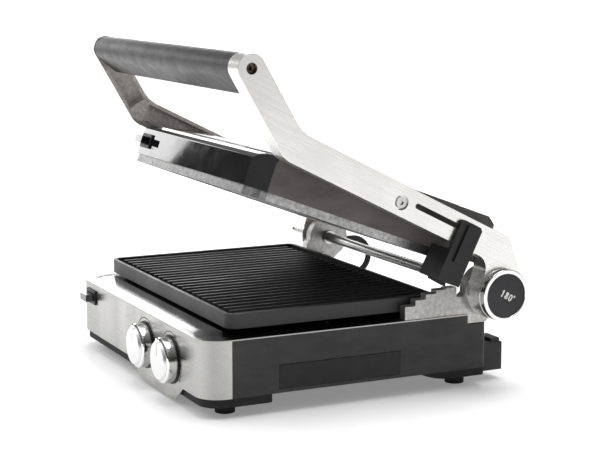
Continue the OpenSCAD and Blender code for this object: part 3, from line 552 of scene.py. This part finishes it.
class PRESS_OT_base(bpy.types.Operator):
    """Lower plate, steel deck, tray, brackets, rear blocks and feet of the base"""
    bl_idname = "press.base"
    bl_label = "Base"

    def execute(self, context):
        size = context.scene.press_sizes
        soft_piece("lower_plate", "lower_ribbed_plate", size.plate_edge, 2)
        deck_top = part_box("deck_plate")[1][2]
        soft_piece("deck_plate", "deck_pressing", size.sheet_edge, 2, 40.0,
                   prepare=lambda bm: slope_steps(bm, size.deck_step, deck_top - size.deck_rise))
        soft_piece("drip_tray", "drip_tray_moulding", size.sheet_edge, 2)
        soft_piece("rack_bracket", "height_rest_casting", size.casting_edge, 2)
        soft_piece("left_bracket", "left_bracket_casting", size.casting_edge, 2)
        soft_piece("cord_cleats", "rear_block_mouldings", size.moulding_edge, 2)
        soft_piece("rubber_feet", "rubber_foot_mouldings", size.moulding_edge, 2)
        return {"FINISHED"}


class PRESS_OT_controls(bpy.types.Operator):
    """Knobs, release button and the printed marks round them"""
    bl_idname = "press.controls"
    bl_label = "Controls"

    def execute(self, context):
        size = context.scene.press_sizes
        for end in ("left", "right"):
            soft_piece("knob_" + end, "knob_skirt_" + end, size.plate_edge, 2)
            soft_piece("knob_face_" + end, "knob_cap_" + end, size.sheet_edge, 2)
            self.marks("knob_face_" + end, "knob_marks_" + end, size.mark)
        soft_piece("lower_bezel", "lower_release_frame", size.sheet_edge, 2)
        soft_piece("lower_button", "lower_release_key", size.sheet_edge, 2)
        return {"FINISHED"}

    def marks(self, node, name, width):
        """A printed sweep and short ticks on the panel round one knob."""
        low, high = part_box(node)
        centre = Vector(((low[0] + high[0]) / 2, frame_front() - PANEL_PROUD, (low[2] + high[2]) / 2))
        bm = bmesh.new()
        start = Matrix.Rotation(SWEEP_START, 4, "Y")
        inner = bm.verts.new(centre + start @ Vector((0, 0, SWEEP_RADIUS)))
        outer = bm.verts.new(centre + start @ Vector((0, 0, SWEEP_RADIUS + width)))
        edge = bm.edges.new((inner, outer))
        bmesh.ops.spin(bm, geom=[inner, outer, edge], cent=centre, axis=(0, 1, 0), dvec=(0, 0, 0),
                       angle=SWEEP_ANGLE, steps=SWEEP_STEPS, use_merge=False, use_duplicate=False)
        for step in range(TICK_COUNT):
            tick = bmesh.ops.create_grid(bm, x_segments=1, y_segments=1, size=0.5)["verts"]
            bmesh.ops.scale(bm, vec=(width, TICK_LONG, 1), verts=tick)
            upright = Matrix.Rotation(math.radians(90), 3, "X")
            bmesh.ops.rotate(bm, cent=(0, 0, 0), matrix=upright, verts=tick)
            bmesh.ops.translate(bm, vec=(0, 0, SWEEP_RADIUS + TICK_LONG), verts=tick)
            bmesh.ops.rotate(bm, cent=(0, 0, 0), verts=tick,
                             matrix=Matrix.Rotation(math.radians(TICK_START + TICK_STEP * step), 3, "Y"))
            bmesh.ops.translate(bm, vec=centre, verts=tick)
        bmesh.ops.solidify(bm, geom=bm.verts[:] + bm.edges[:] + bm.faces[:], thickness=PRINT_THICK)
        bmesh.ops.recalc_face_normals(bm, faces=bm.faces)
        add_piece(name, bm, "print_dark", "base", "black_trim")


def frame_front():
    """The front of the steel panel."""
    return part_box("front_panel")[0][1]


class PRESS_OT_numeral(bpy.types.Operator):
    """The angle printed on the button that lets the arms fold flat"""
    bl_idname = "press.numeral"
    bl_label = "Fold angle numeral"

    def execute(self, context):
        size = context.scene.press_sizes
        tall, stroke = size.numeral, size.stroke
        step = 0.70 * tall
        bm = bmesh.new()
        self.one(bm, -step, tall, stroke)
        self.loop(bm, 0, -0.24 * tall, 0.29 * tall, 0.26 * tall, stroke)
        self.loop(bm, 0, 0.26 * tall, 0.25 * tall, 0.24 * tall, stroke)
        self.loop(bm, step, 0, 0.29 * tall, 0.5 * tall, stroke)
        self.loop(bm, step + 0.50 * tall, 0.40 * tall, 0.15 * tall, 0.15 * tall, 0.55 * stroke)
        bmesh.ops.solidify(bm, geom=bm.verts[:] + bm.edges[:] + bm.faces[:], thickness=PRINT_THICK)
        lean = Matrix.Rotation(-math.radians(size.lean), 3, "X")
        bmesh.ops.rotate(bm, cent=(0, 0, 0), matrix=lean, verts=bm.verts)
        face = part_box("fold_button")[1][0]
        bmesh.ops.translate(bm, vec=(face + BUTTON_PROUD, HINGE.y + 0.12 * tall, HINGE.z), verts=bm.verts)
        bmesh.ops.recalc_face_normals(bm, faces=bm.faces)
        add_piece("fold_angle_numeral", bm, "print_light", "fold_release", "gloss_black")
        return {"FINISHED"}

    @staticmethod
    def one(bm, across, tall, stroke):
        """An upright stroke with a flag; y runs to the right and z up."""
        half = tall / 2
        corners = ((0.5 * stroke, -half), (0.5 * stroke, half), (-0.4 * stroke, half),
                   (-0.22 * tall, half - 0.22 * tall), (-0.22 * tall, half - 0.36 * tall),
                   (-0.5 * stroke, half - 0.24 * tall), (-0.5 * stroke, -half))
        ring = [bm.verts.new((0, across + y, z)) for y, z in corners]
        edges = [bm.edges.new((ring[i], ring[i - 1])) for i in range(len(ring))]
        bmesh.ops.contextual_create(bm, geom=ring + edges)

    @staticmethod
    def loop(bm, across, height, half_wide, half_tall, stroke):
        """An oval band whose outer half sizes are given."""
        edges = []
        for inset in (0, stroke):
            turn = Matrix.Rotation(math.radians(90), 4, "Y")
            ring = bmesh.ops.create_circle(
                bm, cap_ends=False, segments=LOOP_STEPS, radius=1.0, matrix=turn)["verts"]
            bmesh.ops.scale(bm, vec=(1, half_wide - inset, half_tall - inset), verts=ring)
            bmesh.ops.translate(bm, vec=(0, across, height), verts=ring)
            edges += list({e for v in ring for e in v.link_edges})
        bmesh.ops.bridge_loops(bm, edges=edges)


class PRESS_OT_studio(bpy.types.Operator):
    """Pale floor with a painted glow, soft lights, white surround and the camera"""
    bl_idname = "press.studio"
    bl_label = "Studio"

    def execute(self, context):
        self.floor()
        self.surround(context.scene)
        self.card("camera_card", CARD_PLACE, *CARD_SIZE)
        for name, setting in LAMPS.items():
            self.lamp(name, **setting)
        self.camera(context.scene)
        context.scene.view_settings.view_transform = "Standard"
        return {"FINISHED"}

    def floor(self):
        bm = bmesh.new()
        bmesh.ops.create_grid(bm, x_segments=2, y_segments=2, size=FLOOR_HALF)
        mesh = bpy.data.meshes.new("studio_floor")
        bm.to_mesh(mesh)
        bm.free()
        floor = bpy.data.objects.new("studio_floor", mesh)
        bpy.context.scene.collection.objects.link(floor)

        # the floor's emission is painted light: a glow that is dimmer near the press, a painted shade round
        # it, and brighter further out so the far floor reads white
        def build(g):
            grain = g.noise(g.place(), 40.0, 3.0)
            away = g.node("ShaderNodeVectorMath", {"operation": "LENGTH"}, {0: g.place()}, out=1)
            painted_glow = g.span(away, 0.0, 1.0, 0.25, 2.2)
            return {"Base Color": g.tint(grain, (0.90, 0.90, 0.90, 1), (0.93, 0.93, 0.93, 1)),
                    "Roughness": g.span(grain, 0.55, 0.65),
                    "Emission Color": g.tint(painted_glow, (0.24, 0.24, 0.24, 1), (0.75, 0.75, 0.75, 1))}
        mesh.materials.append(surface("studio_paper_painted_glow", build, specular_ior_level=0.2, emission_strength=1.0))

    def card(self, name, place, wide, tall):
        """A dark card behind the camera, which shows only in reflections."""
        bm = bmesh.new()
        bmesh.ops.create_grid(bm, x_segments=1, y_segments=1, size=0.5)
        bmesh.ops.scale(bm, vec=(wide, tall, 1), verts=bm.verts)
        facing = (SUBJECT - Vector(place)).to_track_quat("Z", "Y").to_matrix()
        bmesh.ops.rotate(bm, cent=(0, 0, 0), matrix=facing, verts=bm.verts)
        bmesh.ops.translate(bm, vec=place, verts=bm.verts)
        mesh = bpy.data.meshes.new(name)
        bm.to_mesh(mesh)
        bm.free()
        card = bpy.data.objects.new(name, mesh)
        bpy.context.scene.collection.objects.link(card)
        card.visible_camera = False

        def build(g):
            weave = g.noise(g.place(), 30.0)
            return {"Base Color": g.tint(weave, (0.02, 0.02, 0.02, 1), (0.03, 0.03, 0.03, 1))}
        mesh.materials.append(surface(name + "_felt", build, roughness=0.9))

    def surround(self, scene):
        world = bpy.data.worlds.new("studio_white")
        world.use_nodes = True
        graph = Graph(world.node_tree)
        way = graph.node("ShaderNodeTexCoord", out=0)
        height = graph.node("ShaderNodeSeparateXYZ", {}, {"Vector": way}, out=2)
        across = graph.node("ShaderNodeSeparateXYZ", {}, {"Vector": way}, out=0)
        tone = graph.span(height, 0.07, 0.75, 0.18, 0.70) * graph.span(across, 1.0, 0.35, 0.0, 0.7)
        seen = graph.node("ShaderNodeLightPath", out=0)
        strength = tone * (1.0 - seen) + seen * 1.0
        light = graph.node("ShaderNodeBackground", {}, {"Color": (1, 1, 1, 1), "Strength": strength})
        graph.node("ShaderNodeOutputWorld", {}, {"Surface": light})
        scene.world = world

    def lamp(self, name, place, aim, wide, tall, power):
        data = bpy.data.lights.new(name, "AREA")
        data.shape = "RECTANGLE"
        data.size = wide
        data.size_y = tall
        data.energy = power
        lamp = bpy.data.objects.new(name, data)
        bpy.context.scene.collection.objects.link(lamp)
        lamp.location = place
        lamp.rotation_euler = (Vector(aim) - Vector(place)).to_track_quat("-Z", "Y").to_euler()
        lamp.visible_camera = False

    def camera(self, scene):
        data = bpy.data.cameras.new("studio_camera")
        data.lens = CAMERA_LENS
        data.sensor_width = CAMERA_SENSOR
        camera = bpy.data.objects.new("studio_camera", data)
        scene.collection.objects.link(camera)
        camera.location = CAMERA_PLACE
        camera.rotation_euler = CAMERA_AIM.to_track_quat("-Z", "Y").to_euler()
        scene.camera = camera


STEPS = (PRESS_OT_finishes, PRESS_OT_studio, PRESS_OT_base, PRESS_OT_controls, PRESS_OT_lid,
         PRESS_OT_arms, PRESS_OT_numeral)


class PRESS_PT_panel(bpy.types.Panel):
    """Lists the steps that dress the press"""
    bl_idname = "PRESS_PT_panel"
    bl_label = "Panini press"
    bl_space_type = "VIEW_3D"
    bl_region_type = "UI"
    bl_category = "Press"

    def draw(self, context):
        for step in STEPS:
            self.layout.operator(step.bl_idname)
        for key in PressSizes.__annotations__:
            self.layout.prop(context.scene.press_sizes, key)
        for key in PressColours.__annotations__:
            self.layout.prop(context.scene.press_colours, key)


CLASSES = (PressSizes, PressColours, *STEPS, PRESS_PT_panel)


def register():
    for made in CLASSES:
        bpy.utils.register_class(made)
    bpy.types.Scene.press_sizes = bpy.props.PointerProperty(type=PressSizes)
    bpy.types.Scene.press_colours = bpy.props.PointerProperty(type=PressColours)


def unregister():
    del bpy.types.Scene.press_colours
    del bpy.types.Scene.press_sizes
    for made in reversed(CLASSES):
        bpy.utils.unregister_class(made)


def main():
    register()
    bpy.ops.press.finishes()
    bpy.ops.press.studio()
    bpy.ops.press.base()
    bpy.ops.press.controls()
    bpy.ops.press.lid()
    bpy.ops.press.arms()
    bpy.ops.press.numeral()
    bpy.context.view_layer.update()


if __name__ == "__main__":
    main()
